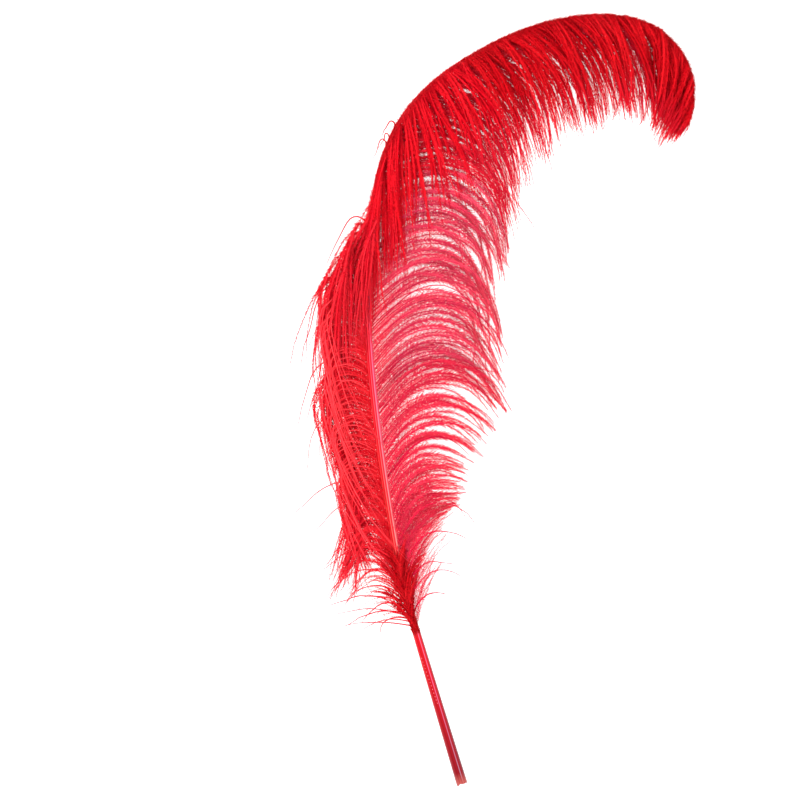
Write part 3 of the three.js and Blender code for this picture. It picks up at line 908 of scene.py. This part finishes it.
def outer_barbs(name, first, last, finish, node, number):
    """Low on the plume they curl outwards and hang; towards the crown more and more fold over the shaft."""
    rng = np.random.default_rng(SEED + number)
    strands = CROWN_STRANDS if first >= CROWN_START else OUTER_STRANDS
    places = along_shaft(first, last, strands.pitch, rng)
    grows = FIRST_VANE + (1 - FIRST_VANE) * begun(places, *FULL_VANE)
    places = places[rng.random(len(places)) < grows]
    curl, lock = grown(curled(OUTER_BARBS, 1), places, rng, OUTER_LOCKS, CURL_LIFT)
    over, over_lock = grown(folded(FOLDED_BARBS), places, rng, FOLDED_LOCKS, FOLD_LIFT)
    beside, beside_lock = grown(folded(FOLDED_BARBS, False), places, rng, BESIDE_LOCKS, FOLD_LIFT)
    goes_beside = rng.random(beside_lock.max() + 1)[beside_lock] < begun(places, *FOLDS_BESIDE)
    goes_over = rng.random(over_lock.max() + 1)[over_lock] < begun(places, *FOLDS_OVER)
    path = np.where(goes_beside[:, None, None], beside, curl)
    path = np.where(goes_over[:, None, None], over, path)
    path, lock, bulk = with_strays(path, lock, bulk_at(places), OUTER_STRAYS, 1, first, last, rng)
    finish_piece(name, path, lock, bulk, rng, strands, finish, node)


def joined(families):
    """Puts the paths of several families in one list, and keeps their locks apart."""
    paths, locks, count = [], [], 0
    for path, lock in families:
        paths.append(path)
        locks.append(lock + count)
        count += lock.max() + 1
    return np.vstack(paths), np.concatenate(locks)


def tip_barbs(number):
    """The inner and the folded outer barbs of the hooked tip, closed up together."""
    rng = np.random.default_rng(SEED + number)
    places = along_shaft(TUFT_START, SHAFT_LENGTH, TIP_PITCHES[0], rng)
    inner = grown(curled(INNER_BARBS, -1), places, rng, TIP_LOCKS)
    places = along_shaft(TUFT_START, SHAFT_LENGTH, TIP_PITCHES[1], rng)
    outer = grown(folded(FOLDED_BARBS), places, rng, TIP_LOCKS, FOLD_LIFT)
    path, lock = joined([inner, outer])
    bulk = np.full((len(path), 2), TIP_BULK)
    finish_piece("tip_barbs", path, lock, bulk, rng, CROWN_STRANDS, CROWN_FINISH, "tip_tuft")


def crossing_barbs(number):
    rng = np.random.default_rng(SEED + number)
    places = along_shaft(CROSSING_BARBS[0][0], CROSSING_BARBS[-1][0], CROSSING_STRANDS.pitch, rng)
    path, lock = grown(curled(CROSSING_BARBS, 1), places, rng, CROSSING_LOCKS)
    bulk = np.ones((len(path), 2))
    finish_piece(
        "crossing_outer_barbs", path, lock, bulk, rng, CROSSING_STRANDS, CROSSING_PAINTED_HIGHLIGHT,
        "outer_vane",
    )


def base_barbs(name, rows, side, node, number):
    rng = np.random.default_rng(SEED + number)
    places = along_shaft(rows[0][0], rows[-1][0], BASE_STRANDS.pitch, rng)
    path, lock = grown(curled(rows, side, BASE_ROOT), places, rng, BASE_LOCKS)
    path[:, :, 2] += (BASE_LIFT * (1 - SHARES))[None]
    bulk = np.full((len(path), 2), BASE_BULK)
    finish_piece(name, path, lock, bulk, rng, BASE_STRANDS, BASE_FINISH, node)


# ---- floor, light and camera --------------------------------------------

def floor_and_light():
    bpy.ops.object.select_all(action="DESELECT")
    bpy.ops.mesh.primitive_plane_add(size=FLOOR_SIDE, location=(0, 0, 0))
    floor = bpy.context.object
    floor.name = "floor"
    material, tree = new_material("pale floor")
    surface = add_node(tree, "ShaderNodeBsdfPrincipled")
    surface.inputs["Base Color"].default_value = (FLOOR_GREY, FLOOR_GREY, FLOOR_GREY, 1)
    surface.inputs["Roughness"].default_value = 0.9
    surface.inputs["Specular IOR Level"].default_value = 0.1
    surface.inputs["Emission Color"].default_value = (1, 1, 1, 1)
    surface.inputs["Emission Strength"].default_value = FLOOR_GLOW
    output = tree.nodes.new("ShaderNodeOutputMaterial")
    give(tree, output.inputs["Surface"], surface.outputs[0])
    floor.data.materials.append(material)

    world = bpy.data.worlds.new("studio")
    bpy.context.scene.world = world
    world.use_nodes = True
    background = world.node_tree.nodes["Background"]
    background.inputs["Color"].default_value = (1, 1, 1, 1)
    background.inputs["Strength"].default_value = WORLD_LIGHT
    bpy.ops.object.light_add(type="AREA", location=KEY_PLACE)
    key = bpy.context.object
    key.name = "key light"
    key.data.shape = "DISK"
    key.data.size = KEY_WIDTH
    key.data.energy = KEY_POWER
    key.rotation_euler = [math.radians(angle) for angle in KEY_TILT]


def camera():
    """Looks straight down on the plume."""
    bpy.ops.object.camera_add()
    seen = bpy.context.object
    seen.name = "camera"
    seen.data.lens = CAMERA_LENS
    seen.data.sensor_width = CAMERA_SENSOR
    distance = VIEW_SIDE * CAMERA_LENS / CAMERA_SENSOR
    middle = np.array([*VIEW_MIDDLE, distance]) + OFFSET
    seen.location = middle * MM
    seen.rotation_euler = (0, 0, 0)
    bpy.context.scene.camera = seen


camera()
floor_and_light()
bpy.context.scene.view_settings.view_transform = "Standard"

shaft_piece()
outer_barbs("outer_barbs_low", BARBS_START, VANE_SPLIT, OUTER_FINISH, "outer_vane", 1)
outer_barbs("outer_barbs_high", VANE_SPLIT, CROWN_START, OUTER_FINISH, "outer_vane", 2)
inner_barbs("inner_barbs_low", BARBS_START, VANE_SPLIT, INNER_LOW_FINISH, "inner_vane", 3)
inner_barbs("inner_barbs_high", VANE_SPLIT, CROWN_START, INNER_HIGH_FINISH, "inner_vane", 4)
inner_barbs("crown_inner_barbs_low", CROWN_START, CROWN_SPLIT, UNDER_FINISH, "crown_inner_vane", 5)
inner_barbs("crown_inner_barbs_high", CROWN_SPLIT, TUFT_START, UNDER_FINISH, "crown_inner_vane", 6)
outer_barbs(
    "crown_outer_barbs_low", CROWN_START, CROWN_SPLIT, SHOULDER_FINISH, "crown_outer_vane", 7,
)
outer_barbs(
    "crown_outer_barbs_high", CROWN_SPLIT, TUFT_START, CROWN_FINISH, "crown_outer_vane", 8,
)
tip_barbs(90)
crossing_barbs(93)
base_barbs("base_outer_barbs", BASE_OUTER_BARBS, 1, "outer_vane", 91)
base_barbs("base_inner_barbs", BASE_INNER_BARBS, -1, "inner_vane", 92)
